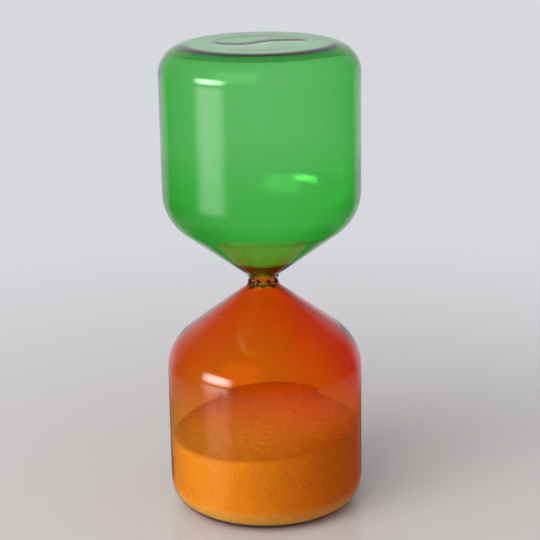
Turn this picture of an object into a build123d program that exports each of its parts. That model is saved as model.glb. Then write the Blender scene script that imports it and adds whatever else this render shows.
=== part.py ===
from build123d import *
import os
from math import cos, radians, sin

# A frameless hourglass: two fused glass bulbs with the sand run down into the lower one.
# Millimetres and degrees. The origin is the middle of the base, with +Z up the axis.

# Driving dimensions of the glass
BULB_DIAMETER = 60.0        # outside of the straight wall
BULB_HEIGHT = 72.5          # from the middle of the neck to the flat end
END_CORNER_RADIUS = 8.8     # outside rounding between the straight wall and the flat end
SHOULDER_RADIUS = 14.8      # outside rounding between the straight wall and the cone
CONE_SLOPE = 36.9           # angle between the cone and the horizontal
NECK_DIAMETER = 9.3         # outside, at the narrowest place
NECK_FILLET = 3.15          # outside hollow of the neck
UPPER_CORNER = 7.2          # rounding inside between the straight wall and the flat end, upper bulb
LOWER_CORNER = 6.4          # the same in the lower bulb
INSIDE_SHOULDER = 14.5      # rounding inside between the wall and the cone
UPPER_WALL = 1.15           # straight wall of the upper bulb
LOWER_WALL = 0.8            # straight wall of the lower bulb, which is blown thinner
END_WALL = 1.3              # flat ends
CONE_WALL = 1.5             # cones
DRAFT_HEIGHT = 40.0         # from the middle of the neck to where the walls begin to thicken
UPPER_DRAFT = 1.7           # lean of the inside from there in towards the shoulder, upper bulb
LOWER_DRAFT = 3.8           # the same in the lower bulb
BORE_DIAMETER = 1.6         # calibrated hole that the sand runs through
ARC_ABOVE = 5.2             # inside of the neck, from the bore up into the upper bulb
ARC_BELOW = 2.0             # inside of the neck, from the bore down into the lower bulb
FLARE_SLOPE = 15.0          # slope where these arcs end and the inside eases over to the cone

# Driving dimensions of the pieces fused between and into the bulbs
THROAT_ABOVE = 3.0          # throat glass above the narrowest place
THROAT_BELOW = 2.0          # throat glass below it
SEAL_DIAMETER = 28.0        # opening in each flat end, closed after filling
SEAL_DISH = 0.15            # how far the middle of a seal is sunk below the flat end

# Driving dimensions of the sand
SAND_DEPTH = 23.1           # at the axis, above the inside of the base
SAND_CROWN = 0.6            # rise of the surface from the wall to the axis
SAND_LEAN_SIDE = 3.6        # tilt of the surface, up towards +X
SAND_LEAN_BACK = -0.5       # tilt of the surface, up towards +Y
SAND_HEAP_START = 9.0       # from the axis back to where the sand begins to heap up
SAND_HEAP_SLOPE = 9.5       # slope of the heap, up towards +Y
SAND_CLEARANCE = 0.3        # between the sand and the glass

# Places and sizes that follow from these
BULB_RADIUS = BULB_DIAMETER / 2
NECK_RADIUS = NECK_DIAMETER / 2
BORE_RADIUS = BORE_DIAMETER / 2
SEAL_RADIUS = SEAL_DIAMETER / 2
LOWER_INSIDE_RADIUS = BULB_RADIUS - LOWER_WALL
INSIDE_HEIGHT = BULB_HEIGHT - END_WALL
NECK_Z = BULB_HEIGHT
SLOPE_SIN = sin(radians(CONE_SLOPE))
SLOPE_COS = cos(radians(CONE_SLOPE))
# Distances from the middle of the neck to the cones' lines, along the cones' normal
CONE_OUTSIDE = (NECK_RADIUS + NECK_FILLET) * SLOPE_SIN - NECK_FILLET
CONE_INSIDE = CONE_OUTSIDE - CONE_WALL
FROM_BOTTOM = (Align.CENTER, Align.CENTER, Align.MIN)
FROM_TOP = (Align.CENTER, Align.CENTER, Align.MAX)


def along_normal(point):
    """How far a (radius, height) point lies from the middle of the neck, along the cone's normal."""
    return point[0] * SLOPE_SIN - point[1] * SLOPE_COS


def shoulder_middle_of(cone, radius, shoulder, draft, draft_height):
    """Where the middle of the shoulder's arc lies, so that it meets both the cone and the wall smoothly."""
    lean_sin, lean_cos = sin(radians(draft)), cos(radians(draft))
    wall = radius * lean_cos - draft_height * lean_sin - shoulder
    across = cos(radians(CONE_SLOPE + draft))
    return ((SLOPE_COS * wall - lean_sin * (cone - shoulder)) / across,
            (SLOPE_SIN * wall - lean_cos * (cone - shoulder)) / across)


def point_on(centre, radius, angle):
    """A point of the (radius, height) half plane on a circle, with its angle from the outward direction."""
    return (centre[0] + radius * cos(radians(angle)), centre[1] + radius * sin(radians(angle)))


def bulb_solid(neck_radius, neck_arc, flare_slope, cone, radius, shoulder, corner, height, draft):
    """A full solid of one bulb, standing on the middle of the neck with its flat end up.

    The outline runs from the neck's arc, eased where that arc ends flatter than the cone, along the cone,
    round the shoulder, up the wall, which leans by the draft at first, and round the corner to the flat
    end. The same outline, with its own sizes, gives the outside and the inside.
    """
    neck_centre = (neck_radius + neck_arc, 0)
    neck_start = (neck_radius, 0)
    neck_middle = point_on(neck_centre, neck_arc, 180 - (90 - flare_slope) / 2)
    flare = point_on(neck_centre, neck_arc, 90 + flare_slope)
    shoulder_centre = shoulder_middle_of(cone, radius, shoulder, draft, DRAFT_HEIGHT)
    cone_end = point_on(shoulder_centre, shoulder, CONE_SLOPE - 90)
    shoulder_halfway = point_on(shoulder_centre, shoulder, (CONE_SLOPE - 90 - draft) / 2)
    wall_start = point_on(shoulder_centre, shoulder, -draft)
    corner_centre = (radius - corner, height - corner)
    corner_middle = point_on(corner_centre, corner, 45)

    with BuildPart() as bulb:
        with BuildSketch(Plane.XZ):
            with BuildLine():
                Line((0, 0), neck_start)
                ThreePointArc(neck_start, neck_middle, flare)
                cone_start = flare
                if flare_slope < CONE_SLOPE:
                    ease = (cone - along_normal(flare)) / (1 - cos(radians(CONE_SLOPE - flare_slope)))
                    ease_centre = point_on(flare, ease, 90 + flare_slope)
                    ease_middle = point_on(ease_centre, ease, (CONE_SLOPE + flare_slope) / 2 - 90)
                    cone_start = point_on(ease_centre, ease, CONE_SLOPE - 90)
                    ThreePointArc(flare, ease_middle, cone_start)
                Line(cone_start, cone_end)
                ThreePointArc(cone_end, shoulder_halfway, wall_start)
                straight_start = wall_start
                if draft > 0:
                    straight_start = (radius, DRAFT_HEIGHT)
                    Line(wall_start, straight_start)
                Line(straight_start, (radius, height - corner))
                ThreePointArc((radius, height - corner), corner_middle, (radius - corner, height))
                Line((radius - corner, height), (0, height))
                Line((0, height), (0, 0))
            make_face()
        revolve(axis=Axis.Z)
    return bulb.part


def glass_half(wall, draft, throat_arc, corner):
    """One half of the glass from the middle of the neck to the flat end, hollow inside."""
    outside = bulb_solid(NECK_RADIUS, NECK_FILLET, CONE_SLOPE, CONE_OUTSIDE,
                         BULB_RADIUS, SHOULDER_RADIUS, END_CORNER_RADIUS, BULB_HEIGHT, 0)
    inside = bulb_solid(BORE_RADIUS, throat_arc, FLARE_SLOPE, CONE_INSIDE,
                        BULB_RADIUS - wall, INSIDE_SHOULDER, corner, INSIDE_HEIGHT, draft)
    return outside - inside


def slab(bottom, top):
    """A plain cylinder, wider than the glass, between two heights."""
    return Pos(0, 0, bottom) * Cylinder(BULB_DIAMETER, top - bottom, align=FROM_BOTTOM)


def seal_plug(depth):
    """The round opening in a flat end, from the end inwards."""
    return Pos(0, 0, BULB_HEIGHT - depth) * Cylinder(SEAL_RADIUS, depth, align=FROM_BOTTOM)


def bulb_shell(half, throat):
    """The bulb's shell above the throat, with the opening that its seal closes."""
    return half & slab(throat, BULB_HEIGHT) - seal_plug(2 * END_WALL)


def end_seal():
    """The glass that closes the opening, with its outer face sunk to a shallow dish."""
    dish_ball = (SEAL_RADIUS**2 + SEAL_DISH**2) / (2 * SEAL_DISH)
    dish = Pos(0, 0, BULB_HEIGHT - SEAL_DISH + dish_ball) * Sphere(dish_ball)
    return seal_plug(END_WALL) - dish


def upright(part):
    """Set a bulb's piece on the neck, flat end up."""
    return Pos(0, 0, NECK_Z) * part


def inverted(part):
    """Set a bulb's piece under the neck, flat end down on the base."""
    return Pos(0, 0, NECK_Z) * Rot(180, 0, 0) * part


def neck_throat(upper, lower):
    """The thick fused throat with the bore through it."""
    above = upright(upper & slab(0, THROAT_ABOVE))
    below = inverted(lower & slab(0, THROAT_BELOW))
    return above + below


def sand_charge():
    """The sand: the inside of the lower bulb, less a clearance, up to a leaning top that heaps up at the back."""
    radius = LOWER_INSIDE_RADIUS - SAND_CLEARANCE
    corner = LOWER_CORNER - SAND_CLEARANCE
    floor = END_WALL + SAND_CLEARANCE
    fill = Pos(0, 0, floor) * Cylinder(radius, 2 * SAND_DEPTH, align=FROM_BOTTOM)
    fill = fillet(fill.edges().group_by(Axis.Z)[0], corner)
    crown_radius = (radius**2 + SAND_CROWN**2) / (2 * SAND_CROWN)
    middle = Pos(0, 0, floor + SAND_DEPTH)
    lean = Rot(SAND_LEAN_BACK, -SAND_LEAN_SIDE, 0)
    ball = middle * lean * Pos(0, 0, -crown_radius) * Sphere(crown_radius)
    heap_lean = Rot(0, -SAND_LEAN_SIDE, 0) * Pos(0, SAND_HEAP_START, 0) * Rot(SAND_HEAP_SLOPE, 0, 0)
    heap = middle * heap_lean * Box(2 * BULB_DIAMETER, 2 * BULB_DIAMETER, BULB_DIAMETER, align=FROM_TOP)
    return (fill & ball) + (fill & heap)


def sand_travel(sand):
    """How far the sand can rise before its highest edge meets the thickening wall, less the clearance."""
    return NECK_Z - DRAFT_HEIGHT - sand.bounding_box().max.Z - SAND_CLEARANCE


upper = glass_half(UPPER_WALL, UPPER_DRAFT, ARC_ABOVE, UPPER_CORNER)
lower = glass_half(LOWER_WALL, LOWER_DRAFT, ARC_BELOW, LOWER_CORNER)
sand = sand_charge()
pieces = {
    "upper_bulb": upright(bulb_shell(upper, THROAT_ABOVE)),
    "lower_bulb": inverted(bulb_shell(lower, THROAT_BELOW)),
    "neck_throat": neck_throat(upper, lower),
    "upper_end_seal": upright(end_seal()),
    "lower_end_seal": inverted(end_seal()),
    "sand": sand,
}

os.makedirs("parts", exist_ok=True)
for name, piece in pieces.items():
    export_step(piece, f"parts/{name}.step")
    print(f"{name}: {piece.volume / 1000:.2f} cm3, {len(piece.solids())} solid")
print(f"sand travel: {sand_travel(sand):.2f} mm")
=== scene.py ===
"""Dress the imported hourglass: green and amber glass bulbs, their fused throat and the settled sand."""
import logging
import random
from collections.abc import Sequence
from dataclasses import dataclass, field
from enum import Enum
from math import atan2, cos, degrees, exp, hypot, log, pi, radians, sin, sqrt, tan, tau
from typing import Any

import bmesh
import bpy
from bmesh.types import BMesh, BMVert
from mathutils import Euler, Matrix, Vector, noise


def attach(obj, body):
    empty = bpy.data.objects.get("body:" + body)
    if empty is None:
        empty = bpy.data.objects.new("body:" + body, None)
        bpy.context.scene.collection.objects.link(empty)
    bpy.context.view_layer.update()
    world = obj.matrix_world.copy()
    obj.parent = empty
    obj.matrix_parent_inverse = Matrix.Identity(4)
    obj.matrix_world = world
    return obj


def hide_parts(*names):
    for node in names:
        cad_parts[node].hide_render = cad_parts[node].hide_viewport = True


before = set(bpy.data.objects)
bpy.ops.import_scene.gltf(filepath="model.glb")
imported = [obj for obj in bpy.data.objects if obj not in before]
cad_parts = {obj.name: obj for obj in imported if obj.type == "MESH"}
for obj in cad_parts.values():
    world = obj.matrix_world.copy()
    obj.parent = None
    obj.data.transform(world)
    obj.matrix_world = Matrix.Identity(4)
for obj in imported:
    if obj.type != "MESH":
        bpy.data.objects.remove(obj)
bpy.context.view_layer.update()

LOG = logging.getLogger("hourglass")
MM = 0.001
Colour = tuple[float, float, float, float]
Point = tuple[float, float, float]
BLACK: Colour = (0.0, 0.0, 0.0, 1.0)
WHITE: Colour = (1.0, 1.0, 1.0, 1.0)

# How finely the outlines are divided
TURN_STEPS = 240            # facets round the glass, 0.8 mm each at the wall
SECTORS = 12                # a turned skin is one sector, repeated, because a long spin is slow
NECK_STEPS = 16             # edges of the neck's arc
EASE_STEPS = 12             # edges of the arc that eases it over to the cone
BEND_STEPS = 24             # edges of a shoulder or a corner
RUN_CUTS = 12               # points that divide a cone or a straight wall
DRAFT_CUTS = 8              # points that divide the leaning wall
JOINT_CUTS = 4              # points that divide a fused face from the inside to the outside
CREASE = 50.0               # degrees between faces, past which an edge stays sharp
WELD = 1e-7                 # m, points closer than this are merged
SAME = 1e-3                 # mm, within which two places count as one

# Sizes that several pieces share, in millimetres and degrees
BULB_RADIUS = 30.0          # outside of the straight wall
BULB_HEIGHT = 72.5          # from the middle of the neck to a flat end
MIDDLE = BULB_HEIGHT        # height of the middle of the neck
SLOPE = 36.9                # between the cones and the horizontal
NECK_RADIUS = 4.65          # outside, at the narrowest place
NECK_HOLLOW = 3.15          # radius of the outside arc there
BORE_RADIUS = 0.8
INSIDE_FLARE = 15.0         # slope where the inside arcs of the neck end
INSIDE_SHOULDER = 14.5      # rounding inside between a cone and the wall
CONE = (NECK_RADIUS + NECK_HOLLOW) * sin(radians(SLOPE)) - NECK_HOLLOW  # middle of the neck to the cone
CONE_WALL = 1.5             # thickness of the cones
END_WALL = 1.3              # thickness of the flat ends
THROAT_ABOVE = 3.0          # throat glass above the middle of the neck
THROAT_BELOW = 2.0          # throat glass below it
JOINT = 0.01                # half of the hairline between fused pieces
AMBER_OFFSET = -0.2         # along X, how far the amber bulb's straight inside and its sand lie off the axis
AMBER_DRIFT = -0.36         # the same for the inside of its cone


class Body(str, Enum):
    """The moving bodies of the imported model."""

    GLASS = "glass"
    SAND = "sand"


class Slot(str, Enum):
    """Names of the material slots."""

    GREEN = "green_glass"
    AMBER = "amber_glass"
    THROAT = "throat_glass"
    SAND = "sand"


class Way(Enum):
    """Which way up a bulb stands on the neck."""

    UP = 1
    DOWN = -1


def clamp(value: float) -> float:
    """Hold a value between nought and one."""
    return max(0.0, min(1.0, value))


def linear(code: str) -> Colour:
    """Turn an sRGB hex colour to linear.

    Args:
        code: Six hex digits after a hash.

    Returns:
        Linear red, green, blue and an alpha of one.
    """
    parts = [int(code[i:i + 2], 16) / 255 for i in (1, 3, 5)]
    return (*[p / 12.92 if p <= 0.04045 else ((p + 0.055) / 1.055) ** 2.4 for p in parts], 1.0)


def add_node(tree: bpy.types.NodeTree, kind: str, inputs: dict[Any, Any] | None = None,
             stops: Sequence[tuple[float, Colour]] = (), **settings: Any) -> bpy.types.Node:
    """Add a node with its settings and links.

    Args:
        tree: The node tree that gets the node.
        kind: The node's type name.
        inputs: A value or an output socket for each named or numbered input.
        stops: Places and colours along a node's ramp, in order.
        settings: Properties of the node itself.

    Returns:
        The new node.
    """
    node = tree.nodes.new(kind)
    for name, value in settings.items():
        setattr(node, name, value)
    for key, value in (inputs or {}).items():
        if isinstance(value, bpy.types.NodeSocket):
            tree.links.new(value, node.inputs[key])
        else:
            node.inputs[key].default_value = value
    if stops:
        bands = node.color_ramp.elements
        bands[0].position, bands[0].color = stops[0]
        bands[1].position, bands[1].color = stops[-1]
        for at, colour in stops[1:-1]:
            bands.new(at).color = colour
    return node


def blank_material(name: str) -> tuple[bpy.types.Material, bpy.types.NodeTree]:
    """Make a material with an empty node tree.

    Args:
        name: The material's name.

    Returns:
        The material and its tree.
    """
    material = bpy.data.materials.new(name)
    material.use_nodes = True
    material.node_tree.nodes.clear()
    return material, material.node_tree


@dataclass(frozen=True)
class GlassFinish:
    """Blown glass, coloured in the melt and fire-polished.

    The colour is in the depth of the glass, so walls seen edge-on and thick places are deeper, and the
    rims turn pale where they mirror the light.
    """

    name: str
    tint: str                   # what white light becomes on its way through one wall
    wall: float = 1.29          # mm, the depth of glass that gives that tint
    headroom: float = 1.02      # keeps each channel of the absorbing colour above nought
    ior: float = 1.47
    wave: float = 22.0          # mm, width of the slow waves that blowing leaves
    wave_height: float = 0.3    # mm
    wave_bump: float = 0.35     # how much of that height shows
    streak: float = 2.6         # mm, width of the faint streaks drawn along the axis
    streak_shape: float = 0.06  # width of a streak as a share of its length
    streak_height: float = 0.05     # mm
    streak_bump: float = 0.12   # how much of that height shows
    touch: float = 16.0         # mm, size of the patches where handling left a thin film
    touch_from: float = 0.42    # level of the patches' noise where the film begins
    touch_full: float = 0.72    # level where it is whole
    film: float = 0.1           # roughness under that film

    def make(self) -> bpy.types.Material:
        """Build the node material.

        Returns:
            The material, clear at its surface and coloured in its depth.
        """
        material, tree = blank_material(self.name)
        place = add_node(tree, "ShaderNodeTexCoord").outputs["Object"]
        waves = add_node(tree, "ShaderNodeTexNoise", {
            "Vector": place, "Scale": 1 / (self.wave * MM), "Detail": 1.0, "Roughness": 0.4})
        drawn = add_node(tree, "ShaderNodeMapping", {"Vector": place, "Scale": (1.0, 1.0, self.streak_shape)})
        streaks = add_node(tree, "ShaderNodeTexNoise", {
            "Vector": drawn.outputs[0], "Scale": 1 / (self.streak * MM), "Detail": 2.0, "Roughness": 0.5})
        slow = add_node(tree, "ShaderNodeBump", {
            "Height": waves.outputs[0], "Strength": self.wave_bump, "Distance": self.wave_height * MM})
        fine = add_node(tree, "ShaderNodeBump", {
            "Height": streaks.outputs[0], "Strength": self.streak_bump, "Distance": self.streak_height * MM,
            "Normal": slow.outputs[0]})
        # Fused faces lie inside one piece of glass, so light goes straight on there.
        fused = add_node(tree, "ShaderNodeAttribute", attribute_name="fused")
        touched = add_node(tree, "ShaderNodeTexNoise", {
            "Vector": place, "Scale": 1 / (self.touch * MM), "Detail": 3.0, "Roughness": 0.6})
        film = add_node(tree, "ShaderNodeMapRange", {
            "Value": touched.outputs[0], "From Min": self.touch_from, "From Max": self.touch_full,
            "To Max": self.film})
        clear = add_node(tree, "ShaderNodeMapRange", {
            "Value": fused.outputs["Fac"], "To Min": film.outputs[0], "To Max": 0.0})
        bend = add_node(tree, "ShaderNodeMapRange", {
            "Value": fused.outputs["Fac"], "To Min": self.ior, "To Max": 1.0})
        glass = add_node(tree, "ShaderNodeBsdfPrincipled", {
            "Base Color": WHITE, "Roughness": clear.outputs[0], "IOR": bend.outputs[0],
            "Transmission Weight": 1.0, "Normal": fine.outputs[0]})
        loss = [-log(c) / (self.wall * MM) for c in linear(self.tint)[:3]]
        density = max(loss) * self.headroom
        depth = add_node(tree, "ShaderNodeVolumeAbsorption", {
            "Color": (*[1 - part / density for part in loss], 1), "Density": density})
        add_node(tree, "ShaderNodeOutputMaterial", {"Surface": glass.outputs[0], "Volume": depth.outputs[0]})
        return material


@dataclass(frozen=True)
class SandFinish:
    """Washed quartz sand, sieved: pale cream grains, some white, some brown, with no gloss as a heap."""

    name: str
    pale: str = "#FFFBEC"
    cream: str = "#F8EDC4"
    brown: str = "#E2D0A2"
    brown_to: float = 0.05      # share of the grains, in order of colour, up to which they are brown
    cream_from: float = 0.09    # share from which they are cream
    cream_to: float = 0.86      # share up to which they are cream
    pale_from: float = 0.93     # share from which they are pale
    grain: float = 0.34         # mm, drawn about twice as coarse as it is, so that it shows
    relief: float = 0.25        # mm, depth between the grains
    bump: float = 0.6           # how much of that depth shows
    dull_from: float = 0.7      # roughness of the smoothest grains
    dull_to: float = 0.95       # roughness of the roughest
    ior: float = 1.54

    def make(self) -> bpy.types.Material:
        """Build the node material.

        Returns:
            The material, with a colour and a roughness of its own for each grain.
        """
        material, tree = blank_material(self.name)
        pale, cream, brown = linear(self.pale), linear(self.cream), linear(self.brown)
        place = add_node(tree, "ShaderNodeTexCoord").outputs["Object"]
        grains = add_node(tree, "ShaderNodeTexVoronoi", {"Vector": place, "Scale": 1 / (self.grain * MM)})
        sort = add_node(tree, "ShaderNodeSeparateColor", {"Color": grains.outputs["Color"]})
        ramp = add_node(tree, "ShaderNodeValToRGB", {"Fac": sort.outputs[0]}, stops=(
            (0.0, brown), (self.brown_to, brown), (self.cream_from, cream), (self.cream_to, cream),
            (self.pale_from, pale), (1.0, pale)))
        bump = add_node(tree, "ShaderNodeBump", {
            "Height": grains.outputs["Distance"], "Strength": self.bump, "Distance": self.relief * MM},
            invert=True)
        dull = add_node(tree, "ShaderNodeMapRange", {
            "Value": sort.outputs[1], "To Min": self.dull_from, "To Max": self.dull_to})
        heap = add_node(tree, "ShaderNodeBsdfPrincipled", {
            "Base Color": ramp.outputs[0], "Roughness": dull.outputs[0], "IOR": self.ior,
            "Normal": bump.outputs[0]})
        add_node(tree, "ShaderNodeOutputMaterial", {"Surface": heap.outputs[0]})
        return material


@dataclass(frozen=True)
class FloorFinish:
    """Board painted with satin paint, pale and slightly warm, that runs out into an even pale sweep.

    What the glass mirrors of it is painted dim, a painted dark reflection, so that the colours of the glass
    stay deep.
    """

    name: str
    colour: str = "#C8C2BF"
    sweep: str = "#D7D8DD"
    painted_mirror_shade: str = "#4C4A48"        # painted reflection: the dark colour the glass mirrors of the board
    near: float = 0.05          # m from the axis, where the board begins to pass into the sweep
    far: float = 0.34           # m, where only the sweep is left
    dim_from: float = 0.82      # how far back, from 1 straight behind, the dim part begins
    dim_full: float = 0.55      # how far back it is whole
    dim_near: float = 0.16      # m from the axis, up to which it has its least strength
    dim_far: float = 0.26       # m, from where it has its full strength
    dim_least: float = 0.6      # the least strength, as a share of the full one
    # m from the axis, where the painted dark ring round the base in reflections begins, is whole, begins to
    # fade and ends
    ring: tuple[float, float, float, float] = (0.031, 0.042, 0.10, 0.14)
    painted_glow: float = 0.6            # share of the sweep painted on as a glow where the board is seen through the glass
    roughness: float = 0.22
    ior: float = 1.5

    def make(self) -> bpy.types.Material:
        """Build the node material.

        Returns:
            The material, which differs for rays that are seen, mirrored or passed on by the glass.
        """
        material, tree = blank_material(self.name)
        place = add_node(tree, "ShaderNodeTexCoord").outputs["Object"]
        away = add_node(tree, "ShaderNodeVectorMath", {0: place}, operation="LENGTH").outputs["Value"]
        fade = add_node(tree, "ShaderNodeMapRange", {
            "Value": away, "From Min": self.near, "From Max": self.far}, interpolation_type="SMOOTHSTEP")
        path = add_node(tree, "ShaderNodeLightPath").outputs
        mirror = add_node(tree, "ShaderNodeMath", {
            0: path["Is Glossy Ray"], 1: path["Is Transmission Ray"]}, operation="SUBTRACT", use_clamp=True)
        # Painted reflection: mirrored, the board is painted dim but for a sector straight behind the axis,
        # and dim all round the base.
        toward = add_node(tree, "ShaderNodeVectorMath", {0: place}, operation="NORMALIZE")
        back = add_node(tree, "ShaderNodeSeparateXYZ", {0: toward.outputs[0]}).outputs[1]
        front = add_node(tree, "ShaderNodeMapRange", {
            "Value": back, "From Min": self.dim_from, "From Max": self.dim_full},
            interpolation_type="SMOOTHSTEP")
        depth = add_node(tree, "ShaderNodeMapRange", {
            "Value": away, "From Min": self.dim_near, "From Max": self.dim_far, "To Min": self.dim_least})
        tone = add_node(tree, "ShaderNodeMath", {
            0: front.outputs[0], 1: depth.outputs[0]}, operation="MULTIPLY")
        # Painted shade: a dark ring round the base in what the glass mirrors of the board.
        painted_ring_shade = add_node(tree, "ShaderNodeValToRGB", {"Fac": away},
                       stops=tuple(zip(self.ring, (BLACK, WHITE, WHITE, BLACK))))
        tone = add_node(tree, "ShaderNodeMath", {
            0: tone.outputs[0], 1: painted_ring_shade.outputs[0]}, operation="MAXIMUM")
        dark = add_node(tree, "ShaderNodeMath", {
            0: mirror.outputs[0], 1: tone.outputs[0]}, operation="MULTIPLY")
        seen = add_node(tree, "ShaderNodeMath", {
            0: path["Is Camera Ray"], 1: path["Is Glossy Ray"]}, operation="MAXIMUM")
        seen = add_node(tree, "ShaderNodeMath", {
            0: seen.outputs[0], 1: path["Is Transmission Ray"]}, operation="MAXIMUM")
        seen = add_node(tree, "ShaderNodeMath", {
            0: seen.outputs[0], 1: dark.outputs[0]}, operation="SUBTRACT", use_clamp=True)
        # Painted glow: seen through the glass, the board beside and below it glows pale with the sweep, over
        # its shadow.
        painted_glow = add_node(tree, "ShaderNodeMath", {
            0: path["Is Transmission Ray"], 1: self.painted_glow}, operation="MULTIPLY")
        painted_glow = add_node(tree, "ShaderNodeMath", {
            0: painted_glow.outputs[0], 1: fade.outputs[0]}, operation="MAXIMUM")
        share = add_node(tree, "ShaderNodeMath", {
            0: seen.outputs[0], 1: painted_glow.outputs[0]}, operation="MULTIPLY")
        # Painted reflection: mirrored rays see the board mixed towards the dark colour.
        paint = add_node(tree, "ShaderNodeMix", {
            "Factor": dark.outputs[0], 6: linear(self.colour), 7: linear(self.painted_mirror_shade)}, data_type="RGBA")
        board = add_node(tree, "ShaderNodeBsdfPrincipled", {
            "Base Color": paint.outputs[2], "Roughness": self.roughness, "IOR": self.ior})
        pale = add_node(tree, "ShaderNodeEmission", {"Color": linear(self.sweep), "Strength": 1.0})
        both = add_node(tree, "ShaderNodeMixShader", {
            0: share.outputs[0], 1: board.outputs[0], 2: pale.outputs[0]})
        add_node(tree, "ShaderNodeOutputMaterial", {"Surface": both.outputs[0]})
        return material


class Turning:
    """A half outline, drawn edge by edge in the (radius, height) plane, that is turned about the axis."""

    def __init__(self) -> None:
        """Start with an empty mesh."""
        self.bm: BMesh = bmesh.new()
        self.tip: BMVert | None = None

    def start(self, radius: float, height: float) -> None:
        """Put down the outline's first point, in millimetres."""
        self.tip = bmesh.ops.create_vert(self.bm, co=(radius * MM, 0, height * MM))["vert"][0]

    def line(self, radius: float, height: float, cuts: int = 0) -> None:
        """Draw a straight run from the last point.

        Args:
            radius: Where the run ends, from the axis, in millimetres.
            height: Where it ends along the axis.
            cuts: How many points divide it.
        """
        end, begin = Vector((radius * MM, 0, height * MM)), self.tip.co.copy()
        for step in range(1, cuts + 2):
            self.tip = bmesh.ops.extrude_vert_indiv(self.bm, verts=[self.tip])["verts"][0]
            self.tip.co = begin.lerp(end, step / (cuts + 1))

    def arc(self, radius: float, height: float, angle: float, steps: int) -> None:
        """Swing the last point about a centre.

        Args:
            radius: The centre's distance from the axis, in millimetres.
            height: The centre's place along the axis.
            angle: Degrees, counted from outwards to upwards.
            steps: How many edges the arc has.
        """
        out = bmesh.ops.spin(self.bm, geom=[self.tip], cent=(radius * MM, 0, height * MM), axis=(0, -1, 0),
                             angle=radians(angle), steps=steps, use_merge=False)
        self.tip = out["geom_last"][0]

    def close(self) -> None:
        """Join the outline's two ends."""
        ends = [v for v in self.bm.verts if len(v.link_edges) == 1]
        bmesh.ops.contextual_create(self.bm, geom=ends)

    def turn(self) -> BMesh:
        """Turn the outline into a closed skin.

        Returns:
            The mesh, with its poles merged and its faces pointing out of the material.
        """
        bm, about = self.bm, {"cent": (0, 0, 0), "axis": (0, 0, 1)}
        bmesh.ops.spin(bm, geom=bm.verts[:] + bm.edges[:], angle=tau / SECTORS, steps=TURN_STEPS // SECTORS,
                       use_merge=False, **about)
        bmesh.ops.spin(bm, geom=bm.verts[:] + bm.edges[:] + bm.faces[:], angle=tau * (1 - 1 / SECTORS),
                       steps=SECTORS - 1, use_merge=False, use_duplicate=True, **about)
        bmesh.ops.remove_doubles(bm, verts=bm.verts, dist=WELD)
        bmesh.ops.recalc_face_normals(bm, faces=bm.faces)
        return bm


def finished_piece(bm: BMesh, name: str, material: bpy.types.Material,
                   crease: float = CREASE) -> bpy.types.Object:
    """Make an object at the origin from a mesh in place.

    Args:
        bm: The mesh, which is freed.
        name: The piece's name.
        material: Its finish.
        crease: Degrees between faces past which an edge stays sharp.

    Returns:
        The linked object.
    """
    mesh = bpy.data.meshes.new(name)
    bm.to_mesh(mesh)
    bm.free()
    mesh.polygons.foreach_set("use_smooth", [True] * len(mesh.polygons))
    mesh.set_sharp_from_angle(angle=radians(crease))
    mesh.materials.append(material)
    piece = bpy.data.objects.new(name, mesh)
    bpy.context.scene.collection.objects.link(piece)
    return piece


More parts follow.
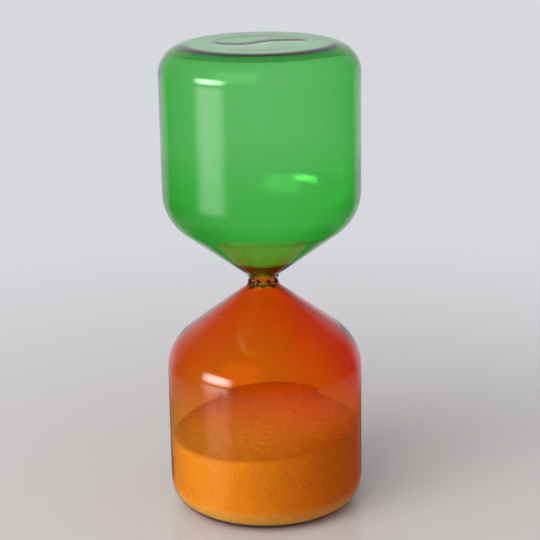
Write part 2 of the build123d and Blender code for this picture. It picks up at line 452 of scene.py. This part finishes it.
@dataclass(frozen=True)
class Outline:
    """One skin of a bulb, outside or inside, from the neck's arc to the flat end, in millimetres."""

    neck: float                 # radius at the narrowest place
    hollow: float               # radius of the neck's arc
    flare: float                # slope, in degrees, where that arc ends
    cone: float                 # distance from the middle of the neck to the cone's line, along its normal
    radius: float               # of the straight wall
    shoulder: float             # rounding between the cone and the wall
    corner: float               # rounding between the wall and the flat end
    height: float               # from the middle of the neck to the flat end
    draft: float = 0.0          # degrees that the wall leans in towards the shoulder
    draft_height: float = 40.0  # from the middle of the neck to where the wall begins to lean

    @property
    def shoulder_centre(self) -> tuple[float, float]:
        """Work out the middle of the shoulder's arc, which meets both the cone and the wall smoothly.

        Returns:
            Its radius and its height above the middle of the neck.
        """
        slope, draft = radians(SLOPE), radians(self.draft)
        wall = self.radius * cos(draft) - self.draft_height * sin(draft) - self.shoulder
        cone = self.cone - self.shoulder
        across = cos(slope + draft)
        return ((cos(slope) * wall - sin(draft) * cone) / across,
                (sin(slope) * wall - cos(draft) * cone) / across)

    @property
    def flare_point(self) -> tuple[float, float]:
        """Radius and height where the neck's arc ends."""
        lean = radians(self.flare)
        return self.neck + self.hollow * (1 - sin(lean)), self.hollow * cos(lean)

    def neck_angle(self, height: float) -> float:
        """Angle round the neck's arc, in degrees from the narrowest place, of a height above it."""
        return degrees(atan2(height, sqrt(self.hollow ** 2 - height ** 2)))

    def neck_radius(self, height: float) -> float:
        """Find the radius on the neck's arc or the cone.

        Args:
            height: Height above the narrowest place.

        Returns:
            The radius there.
        """
        if height > self.flare_point[1]:
            return (self.cone + height * cos(radians(SLOPE))) / sin(radians(SLOPE))
        return self.neck + self.hollow - sqrt(self.hollow ** 2 - height ** 2)

    def reach(self, height: float) -> float:
        """Find the radius anywhere up to the flat end, for a skin without draft.

        Args:
            height: Height above the narrowest place.

        Returns:
            The radius there.
        """
        past = height - self.height + self.corner
        if past > 0:
            return self.radius - self.corner + sqrt(max(0.0, self.corner ** 2 - past ** 2))
        r, h = self.shoulder_centre
        if height < h - self.shoulder * cos(radians(SLOPE)):
            return self.neck_radius(height)
        return r + sqrt(self.shoulder ** 2 - min(0.0, height - h) ** 2)

    def draw(self, pen: Turning, way: Way, foot: float) -> None:
        """Draw from a height above the neck out to the rim of the flat end.

        Args:
            pen: The outline being drawn, whose tip is already at the foot.
            way: Which way up the bulb stands.
            foot: Height above the neck where the drawing starts.
        """
        s, rise, run = way.value, sin(radians(SLOPE)), cos(radians(SLOPE))
        r, h = self.flare_point
        if foot < h:
            left = self.neck_angle(foot) + self.flare - 90
            pen.arc(self.neck + self.hollow, MIDDLE, s * left, NECK_STEPS)
        if self.flare < SLOPE:
            turn = SLOPE - self.flare
            ease = (self.cone - r * rise + h * run) / (1 - cos(radians(turn)))
            lean = radians(self.flare)
            pen.arc(r - ease * sin(lean), MIDDLE + s * (h + ease * cos(lean)), s * turn, EASE_STEPS)
        r, h = self.shoulder_centre
        pen.line(r + self.shoulder * rise, MIDDLE + s * (h - self.shoulder * run), RUN_CUTS)
        pen.arc(r, MIDDLE + s * h, s * (90 - SLOPE - self.draft), BEND_STEPS)
        pen.line(self.radius, MIDDLE + s * self.draft_height, DRAFT_CUTS)
        pen.line(self.radius, MIDDLE + s * (self.height - self.corner), RUN_CUTS)
        pen.arc(self.radius - self.corner, MIDDLE + s * (self.height - self.corner), s * 90, BEND_STEPS)


def inner_skin(wall: float, hollow: float, corner: float, draft: float) -> Outline:
    """Give the inside of one bulb, in millimetres and degrees.

    Args:
        wall: Thickness of the straight wall.
        hollow: Radius of the neck's arc inside.
        corner: Rounding between the wall and the flat end.
        draft: How far the wall leans in towards the shoulder.

    Returns:
        The outline of the inside.
    """
    return Outline(neck=BORE_RADIUS, hollow=hollow, flare=INSIDE_FLARE, cone=CONE - CONE_WALL,
                   radius=BULB_RADIUS - wall, shoulder=INSIDE_SHOULDER, corner=corner,
                   height=BULB_HEIGHT - END_WALL, draft=draft)


OUTSIDE = Outline(neck=NECK_RADIUS, hollow=NECK_HOLLOW, flare=SLOPE, cone=CONE, radius=BULB_RADIUS,
                  shoulder=14.8, corner=8.8, height=BULB_HEIGHT)
INSIDE = {
    Way.UP: inner_skin(wall=1.15, hollow=5.2, corner=7.2, draft=1.7),
    Way.DOWN: inner_skin(wall=0.8, hollow=2.0, corner=6.4, draft=3.8),
}


def mark_level(bm: BMesh, levels: list[float]) -> None:
    """Write the face attribute that tells fused faces from open ones.

    Args:
        bm: The mesh.
        levels: Heights of the fused faces, in millimetres.
    """
    layer = bm.faces.layers.float.new("fused")
    for face in bm.faces:
        face[layer] = float(any(all(abs(v.co.z / MM - z) < SAME for v in face.verts) for z in levels))


@dataclass
class GlassBulb:
    """One blown bulb with the seal that closes its flat end, from the throat to the end, in millimetres."""

    name: str
    nodes: tuple[str, ...]
    way: Way
    foot: float                 # above or below the middle of the neck, where the throat ends
    finish: GlassFinish
    slot: Slot
    dish: float = 0.15          # how far the middle of the seal is sunk
    seal: float = 14.0          # radius of the seal
    drift: float = 0.0          # how far the inside of the cone lies off centre, towards +X
    offset: float = 0.0         # the same for the inside of the straight wall
    drift_run: float = 16.0     # height over which the one passes into the other
    foot_run: float = 4.0       # height over which both begin at the throat
    skin: float = 0.2           # depth under the outside, past which a point belongs to the inside
    end_margin: float = 0.5     # depth under the flat end, past which the same holds
    fold_start: float = 58.0    # degrees from +X, which way the seal's two folds leave its middle
    twist: float = -54.0        # degrees that they wind round it on their way out
    twist_power: float = 0.8    # below one, they wind most near the middle
    fold: float = 1.9           # half width of a fold
    fold_depth: float = 0.18
    fold_end: float = 2.0       # width inside the seal's edge over which a fold dies away
    rim_cuts: int = 8           # rings of the flat end outside the seal
    rings: int = 56             # rings of the seal's outer face
    inner_rings: int = 24       # rings of the inner face

    def build(self) -> bpy.types.Object:
        """Build and dress the bulb.

        Returns:
            The piece, which stands for the shell and its seal.
        """
        s, foot = self.way.value, self.foot + JOINT
        inside = INSIDE[self.way]
        end = MIDDLE + s * OUTSIDE.height
        pen = Turning()
        pen.start(inside.neck_radius(foot), MIDDLE + s * foot)
        first = pen.tip
        pen.line(OUTSIDE.neck_radius(foot), MIDDLE + s * foot, JOINT_CUTS)
        OUTSIDE.draw(pen, self.way, foot)
        pen.line(self.seal, end, self.rim_cuts)
        pen.line(0.0, end, self.rings)
        pen.tip = first
        inside.draw(pen, self.way, foot)
        pen.line(0.0, MIDDLE + s * inside.height, self.inner_rings)
        bm = pen.turn()
        self.lean_inside(bm)
        self.press_end(bm, end)
        mark_level(bm, [MIDDLE + s * foot])
        piece = finished_piece(bm, self.name, self.finish.make())
        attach(piece, Body.GLASS.value)
        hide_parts(*self.nodes)
        return piece

    def lean_inside(self, bm: BMesh) -> None:
        """Move the inside off centre, most of all at the cone, as blowing leaves it.

        Args:
            bm: The turned bulb.
        """
        s, top = self.way.value, INSIDE[self.way].draft_height
        for v in bm.verts:
            h, r = s * (v.co.z / MM - MIDDLE), hypot(v.co.x, v.co.y) / MM
            if self.foot < h < OUTSIDE.height - self.end_margin and r < OUTSIDE.reach(h) - self.skin:
                cone = clamp((top - h) / self.drift_run)
                shift = self.offset + cone * (self.drift - self.offset)
                v.co.x += shift * min(1.0, (h - self.foot) / self.foot_run) * MM

    def press_end(self, bm: BMesh, end: float) -> None:
        """Sink both faces of the end to a dish and wind the two folds into the outer one.

        Args:
            bm: The turned bulb.
            end: Height of the flat end, in millimetres.
        """
        s = self.way.value
        ball = (self.seal ** 2 + self.dish ** 2) / (2 * self.dish)
        for v in bm.verts:
            r = hypot(v.co.x, v.co.y) / MM
            depth = s * (end - v.co.z / MM)
            if r >= self.seal or depth > END_WALL + SAME:
                continue
            sunk = sqrt(ball ** 2 - r ** 2) - sqrt(ball ** 2 - self.seal ** 2)
            if depth > SAME:
                v.co.z -= s * sunk * MM
                continue
            wind = self.fold_start + self.twist * (r / self.seal) ** self.twist_power
            turn = atan2(v.co.y, v.co.x) - radians(wind)
            across = r * sin(turn) / sqrt(1 + (radians(self.twist) * r / self.seal) ** 2)
            edge = clamp((self.seal - r) / self.fold_end)
            fold = self.fold_depth * exp(-(across / self.fold) ** 2) * edge
            v.co.z = (end - s * (sunk + fold)) * MM


@dataclass
class Throat:
    """The thick glass where the bulbs were fused, with the bore through it, in millimetres."""

    above: float = THROAT_ABOVE
    below: float = THROAT_BELOW
    pinch: float = 0.40         # depth of the marks left by drawing and twisting the neck
    pinch_width: float = 0.45   # half of a mark's width
    pinch_rise: float = 0.62    # height that a mark climbs for each millimetre round the neck
    pinch_fade: float = 0.7     # height over which the marks die away towards the bulbs
    pinch_reach: float = 0.9    # radians round the neck over which they die away from a crossing
    crossings: int = 5          # places where two marks cross, the first in front at the middle of the neck
    stray: float = 0.2          # radians that each of the others may lie from its even place
    low: float = 0.2            # least height above the middle of the neck, for all but the front crossing
    high: float = 1.6           # greatest height of these
    outer_steps: int = 40       # edges of the outside arc
    cone_cuts: int = 2          # points that divide the piece of cone above it
    lower_steps: int = 12       # edges of the inside arc below the middle
    finish: GlassFinish = field(
        default_factory=lambda: GlassFinish("borosilicate_glass_brown_fused", "#F4DFBA"))

    def build(self) -> bpy.types.Object:
        """Build and dress the throat.

        Returns:
            The piece.
        """
        top, bottom = self.above - JOINT, self.below - JOINT
        pen = Turning()
        pen.start(OUTSIDE.neck_radius(bottom), MIDDLE - bottom)
        reach = min(top, OUTSIDE.flare_point[1])
        pen.arc(OUTSIDE.neck + OUTSIDE.hollow, MIDDLE,
                -OUTSIDE.neck_angle(bottom) - OUTSIDE.neck_angle(reach), self.outer_steps)
        if top > reach:
            pen.line(OUTSIDE.neck_radius(top), MIDDLE + top, self.cone_cuts)
        above, below = INSIDE[Way.UP], INSIDE[Way.DOWN]
        pen.line(above.neck_radius(top), MIDDLE + top, JOINT_CUTS)
        pen.arc(above.neck + above.hollow, MIDDLE, above.neck_angle(top), NECK_STEPS)
        pen.arc(below.neck + below.hollow, MIDDLE, below.neck_angle(bottom), self.lower_steps)
        pen.close()
        bm = pen.turn()
        self.press_marks(bm)
        mark_level(bm, [MIDDLE + top, MIDDLE - bottom])
        piece = finished_piece(bm, "throat", self.finish.make())
        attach(piece, Body.GLASS.value)
        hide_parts("neck_throat")
        return piece

    def press_marks(self, bm: BMesh) -> None:
        """Press crossing marks into the outside, which break up what shows through it.

        Args:
            bm: The turned throat.
        """
        chance = random.Random(11)
        places = [(0.0, 0.0)]
        for k in range(1, self.crossings):
            turn = tau * k / self.crossings + chance.uniform(-self.stray, self.stray)
            places.append((turn, chance.uniform(self.low, self.high)))
        for v in bm.verts:
            h, r = v.co.z / MM - MIDDLE, hypot(v.co.x, v.co.y) / MM
            if abs(r - OUTSIDE.neck_radius(abs(h))) > SAME:
                continue
            fade = clamp(min(self.above - h, h + self.below) / self.pinch_fade)
            dent = 0.0
            for turn, level in places:
                away = (atan2(v.co.x, -v.co.y) - turn + pi) % tau - pi
                near = exp(-(away / self.pinch_reach) ** 2)
                for lean in (-self.pinch_rise, self.pinch_rise):
                    off = (h - level - lean * away * OUTSIDE.neck) / hypot(1, lean)
                    dent = max(dent, exp(-(off / self.pinch_width) ** 2) * near)
            for axis in (0, 1):
                v.co[axis] *= 1 - self.pinch * fade * dent / r


@dataclass
class SandCharge:
    """The sand, settled in the lower bulb with a leaning top that heaps up at the back, in millimetres."""

    depth: float = 23.1         # at the axis, above the bottom of the solid charge
    crown: float = 0.6          # rise of the top from the wall to the axis
    lean_side: float = 3.6      # degrees, up towards +X
    lean_back: float = -0.5     # degrees, up towards +Y
    heap_start: float = 9.0     # from the axis back to where the sand begins to heap up
    heap_slope: float = 9.5     # degrees
    heap_ease: float = 1.2      # how softly the heap begins
    clearance: float = 0.06     # between this piece and the glass
    cad_clearance: float = 0.3  # between the solid charge and the glass
    ripple: float = 0.22        # height of the small humps on the top
    hump: float = 3.1           # width of a hump
    small_hump: float = 0.9     # width of the smaller humps among them
    small_share: float = 0.35   # height of the smaller humps, as a share of the others'
    rim: float = 1.8            # rounding where the top meets the glass in front
    rim_back: float = 0.4       # the same at the back
    level: float = 30.0         # height at which the top is drawn flat, before it is shaped
    floor_cuts: int = 8         # rings of the bottom
    corner_steps: int = 12      # edges of the bottom's rounding
    side_cuts: int = 16         # rings of the side
    top_cuts: int = 64          # rings of the top
    crease: float = 60.0        # degrees
    grains: int = 420           # loose grains that lie on the top
    grain_least: float = 0.16   # radius of the smallest loose grain
    grain_most: float = 0.34    # radius of the largest
    grain_margin: float = 0.8   # width beside the glass where none lie
    finish: SandFinish = field(default_factory=lambda: SandFinish("quartz_sand_washed"))

    @property
    def radius(self) -> float:
        """Radius of the charge."""
        return INSIDE[Way.DOWN].radius - self.clearance

    @property
    def middle(self) -> float:
        """Height of the smooth top at the axis."""
        return END_WALL + self.cad_clearance + self.depth

    def top(self, x: float, y: float) -> float:
        """Find the smooth crowned top, without the heap.

        Args:
            x: Place to the right of the axis.
            y: Place behind the axis.

        Returns:
            Height of the top there.
        """
        radius = INSIDE[Way.DOWN].radius - self.cad_clearance
        ball = (radius ** 2 + self.crown ** 2) / (2 * self.crown)
        turn = Euler((radians(self.lean_back), radians(-self.lean_side), 0)).to_matrix()
        centre = Vector((0, 0, self.middle)) - turn @ Vector((0, 0, ball))
        return centre.z + sqrt(ball ** 2 - (x - centre.x) ** 2 - (y - centre.y) ** 2)

    def surface(self, x: float, y: float) -> float:
        """Find the top with its heap, its small humps and its rounded rim.

        Args:
            x: Place to the right of the axis.
            y: Place behind the axis.

        Returns:
            Height of the surface there.
        """
        spot = Vector((x, y, 0))
        small = noise.noise(spot / self.small_hump) * self.small_share * self.ripple
        hump = noise.noise(spot / self.hump) * self.ripple + small
        front = 0.5 - 0.5 * y / self.radius
        rim = self.rim_back + front * (self.rim - self.rim_back)
        past = max(0.0, rim - self.radius + hypot(x, y))
        fall = rim - sqrt(max(0.0, rim ** 2 - past ** 2))
        flat, climb = self.top(x, y), (y - self.heap_start) * tan(radians(self.heap_slope))
        step = self.middle + x * tan(radians(self.lean_side)) + climb - flat
        return flat + (step + sqrt(step ** 2 + self.heap_ease ** 2)) / 2 + hump - fall

    def build(self) -> bpy.types.Object:
        """Build and dress the charge.

        Returns:
            The piece.
        """
        floor = END_WALL + self.clearance
        corner = INSIDE[Way.DOWN].corner - self.clearance
        knee = floor + corner
        pen = Turning()
        pen.start(0.0, floor)
        pen.line(self.radius - corner, floor, self.floor_cuts)
        pen.arc(self.radius - corner, knee, 90, self.corner_steps)
        pen.line(self.radius, self.level, self.side_cuts)
        pen.line(0.0, self.level, self.top_cuts)
        bm = pen.turn()
        for v in bm.verts:
            x, y, z = (c / MM for c in v.co)
            if z <= knee + SAME:
                continue
            share = (z - knee) / (self.level - knee)
            v.co.z = (knee + share * (self.surface(x, y) - knee)) * MM
        self.strew(bm)
        bmesh.ops.translate(bm, verts=bm.verts, vec=(AMBER_OFFSET * MM, 0, 0))
        piece = finished_piece(bm, "sand_charge", self.finish.make(), self.crease)
        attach(piece, Body.SAND.value)
        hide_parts("sand")
        return piece

    def strew(self, bm: BMesh) -> None:
        """Lay loose grains on the top, half sunk into it.

        Args:
            bm: The charge's mesh, which gets the grains.
        """
        chance = random.Random(5)
        for _ in range(self.grains):
            r, turn = (self.radius - self.grain_margin) * sqrt(chance.random()), chance.uniform(0, tau)
            x, y = r * cos(turn), r * sin(turn)
            size = chance.uniform(self.grain_least, self.grain_most) * MM
            spot = Matrix.Translation(Vector((x, y, self.surface(x, y))) * MM)
            bmesh.ops.create_icosphere(bm, subdivisions=1, radius=size, matrix=spot)


@dataclass(frozen=True)
class SoftLight:
    """Light from all round, brighter from the left than from the right, mirrored with more contrast."""

    bright: str = "#DEDEE0"
    dull: str = "#A0A1A5"
    bright_way: Point = (-0.62, -0.74, 0.26)    # where the light is brightest
    mirrored_way: Point = (-0.06, 0.98, -0.15)  # where what the glass mirrors is palest
    # What the glass mirrors, from opposite that way at 0 round to it at 1
    mirrored: tuple[tuple[float, str], ...] = (
        (0.0, "#2E2E30"), (0.5, "#46464A"), (0.76, "#58585C"), (0.9, "#C3C4C8"), (1.0, "#EBECF0"))

    def shine(self, sweep: str) -> None:
        """Make it the scene's world.

        Args:
            sweep: Colour that the camera sees behind the floor.
        """
        world = bpy.data.worlds.new("soft_light")
        bpy.context.scene.world = world
        world.use_nodes = True
        tree = world.node_tree
        tree.nodes.clear()
        way = add_node(tree, "ShaderNodeTexCoord").outputs["Generated"]
        path = add_node(tree, "ShaderNodeLightPath").outputs
        toward = add_node(tree, "ShaderNodeVectorMath", {
            0: way, 1: self.mirrored_way}, operation="DOT_PRODUCT")
        share = add_node(tree, "ShaderNodeMapRange", {"Value": toward.outputs["Value"], "From Min": -1.0})
        mirrored = add_node(tree, "ShaderNodeValToRGB", {"Fac": share.outputs[0]},
                            stops=[(at, linear(code)) for at, code in self.mirrored])
        front = add_node(tree, "ShaderNodeVectorMath", {
            0: way, 1: self.bright_way}, operation="DOT_PRODUCT")
        slide = add_node(tree, "ShaderNodeMapRange", {"Value": front.outputs["Value"], "From Min": -1.0})
        even = add_node(tree, "ShaderNodeMix", {
            "Factor": slide.outputs[0], 6: linear(self.dull), 7: linear(self.bright)}, data_type="RGBA")
        mirror = add_node(tree, "ShaderNodeMath", {
            0: path["Is Glossy Ray"], 1: path["Is Transmission Ray"]}, operation="SUBTRACT", use_clamp=True)
        tone = add_node(tree, "ShaderNodeMix", {
            "Factor": mirror.outputs[0], 6: even.outputs[2], 7: mirrored.outputs[0]}, data_type="RGBA")
        tone = add_node(tree, "ShaderNodeMix", {
            "Factor": path["Is Camera Ray"], 6: tone.outputs[2], 7: linear(sweep)}, data_type="RGBA")
        glow = add_node(tree, "ShaderNodeBackground", {"Color": tone.outputs[2], "Strength": 1.0})
        add_node(tree, "ShaderNodeOutputWorld", {"Surface": glow.outputs[0]})


@dataclass(frozen=True)
class Panel:
    """A light with soft edges that faces the hourglass."""

    name: str
    at: Point                   # m, where it hangs
    size: tuple[float, float]   # m, its width and height
    power: float                # W
    soft: float                 # share of its width and height over which an edge fades
    mirrored: bool = True       # whether the glass mirrors it
    aim: Point = (0.0, 0.0, 0.075)  # m, what it faces

    def hang(self) -> None:
        """Add the light to the scene."""
        lamp = bpy.data.lights.new(self.name, "AREA")
        lamp.shape = "RECTANGLE"
        lamp.size, lamp.size_y = self.size
        lamp.energy = self.power
        lamp.use_nodes = True
        tree = lamp.node_tree
        tree.nodes.clear()
        spot = add_node(tree, "ShaderNodeNewGeometry").outputs["Parametric"]
        centred = add_node(tree, "ShaderNodeVectorMath", {0: spot, 1: (-0.5, -0.5, 0)}, operation="ADD")
        across = add_node(tree, "ShaderNodeSeparateXYZ", {0: centred.outputs[0]})
        fades = []
        for axis in across.outputs[:2]:
            off = add_node(tree, "ShaderNodeMath", {0: axis}, operation="ABSOLUTE")
            fade = add_node(tree, "ShaderNodeMapRange", {
                "Value": off.outputs[0], "From Min": 0.5, "From Max": 0.5 - self.soft},
                interpolation_type="SMOOTHSTEP")
            fades.append(fade.outputs[0])
        even = add_node(tree, "ShaderNodeMath", {0: fades[0], 1: fades[1]}, operation="MULTIPLY")
        glow = add_node(tree, "ShaderNodeEmission", {"Strength": even.outputs[0]})
        add_node(tree, "ShaderNodeOutputLight", {"Surface": glow.outputs[0]})
        panel = bpy.data.objects.new(self.name, lamp)
        panel.location = self.at
        panel.rotation_euler = (Vector(self.aim) - Vector(self.at)).to_track_quat("-Z", "Y").to_euler()
        panel.visible_camera = False
        panel.visible_glossy = self.mirrored
        bpy.context.scene.collection.objects.link(panel)


@dataclass
class Studio:
    """Plain floor, soft light and the camera."""

    lens: float = 107.6         # mm
    sensor: float = 36.0        # mm
    eye: Point = (0.0, -0.4726, 0.2159)     # m
    pitch: float = 16.574       # degrees that the camera looks down
    yaw: float = 0.257          # degrees that it turns to the right
    roll: float = 0.946         # degrees that it is tipped clockwise
    nearest: float = 0.01       # m, closer than which the camera sees nothing
    floor_reach: float = 3.0    # m from the axis to the floor's sides
    floor_gap: float = 0.1      # mm between the base and the floor, so that the two faces don't coincide
    floor: FloorFinish = field(default_factory=lambda: FloorFinish("painted_board_satin"))
    around: SoftLight = field(default_factory=SoftLight)
    panels: tuple[Panel, ...] = (
        Panel("side_panel", at=(-2.14, -1.29, 0.54), size=(2.20, 1.04), power=106.0, soft=0.36),
        Panel("fill_panel", at=(-0.50, -0.85, 0.70), size=(1.4, 1.4), power=20.5, soft=0.3, mirrored=False),
    )

    def build(self) -> None:
        """Set the view, the floor, the light from all round, the panels and the camera."""
        bpy.context.scene.view_settings.view_transform = "Standard"
        self.lay_floor()
        self.around.shine(self.floor.sweep)
        for panel in self.panels:
            panel.hang()
        self.place_camera()

    def lay_floor(self) -> None:
        """Lay the floor just under the base."""
        bm = bmesh.new()
        bmesh.ops.create_grid(bm, x_segments=1, y_segments=1, size=self.floor_reach)
        bmesh.ops.translate(bm, verts=bm.verts, vec=(0, 0, -self.floor_gap * MM))
        finished_piece(bm, "floor", self.floor.make())

    def place_camera(self) -> None:
        """Stand the camera where the photograph was taken."""
        view = bpy.data.cameras.new("camera")
        view.lens, view.sensor_width = self.lens, self.sensor
        view.clip_start = self.nearest
        camera = bpy.data.objects.new("camera", view)
        aim = Euler((radians(90 - self.pitch), 0, radians(-self.yaw))).to_matrix().to_4x4()
        camera.matrix_world = (Matrix.Translation(self.eye) @ aim
                               @ Matrix.Rotation(radians(-self.roll), 4, "Z"))
        bpy.context.scene.collection.objects.link(camera)
        bpy.context.scene.camera = camera


def main() -> None:
    """Build the pieces in order, report each one's faces and build the studio."""
    logging.basicConfig(level=logging.INFO, format="%(name)s: %(message)s")
    makers = [
        GlassBulb("green_bulb", ("upper_bulb", "upper_end_seal"), Way.UP, THROAT_ABOVE,
                  GlassFinish("borosilicate_glass_green_blown", "#A4EBA6"), Slot.GREEN),
        GlassBulb("amber_bulb", ("lower_bulb", "lower_end_seal"), Way.DOWN, THROAT_BELOW,
                  GlassFinish("borosilicate_glass_amber_blown", "#F9A937"), Slot.AMBER,
                  drift=AMBER_DRIFT, offset=AMBER_OFFSET),
        Throat(),
        SandCharge(),
    ]
    for maker in makers:
        piece = maker.build()
        LOG.info("%s: %d faces", piece.name, len(piece.data.polygons))
    Studio().build()


if __name__ == "__main__":
    main()
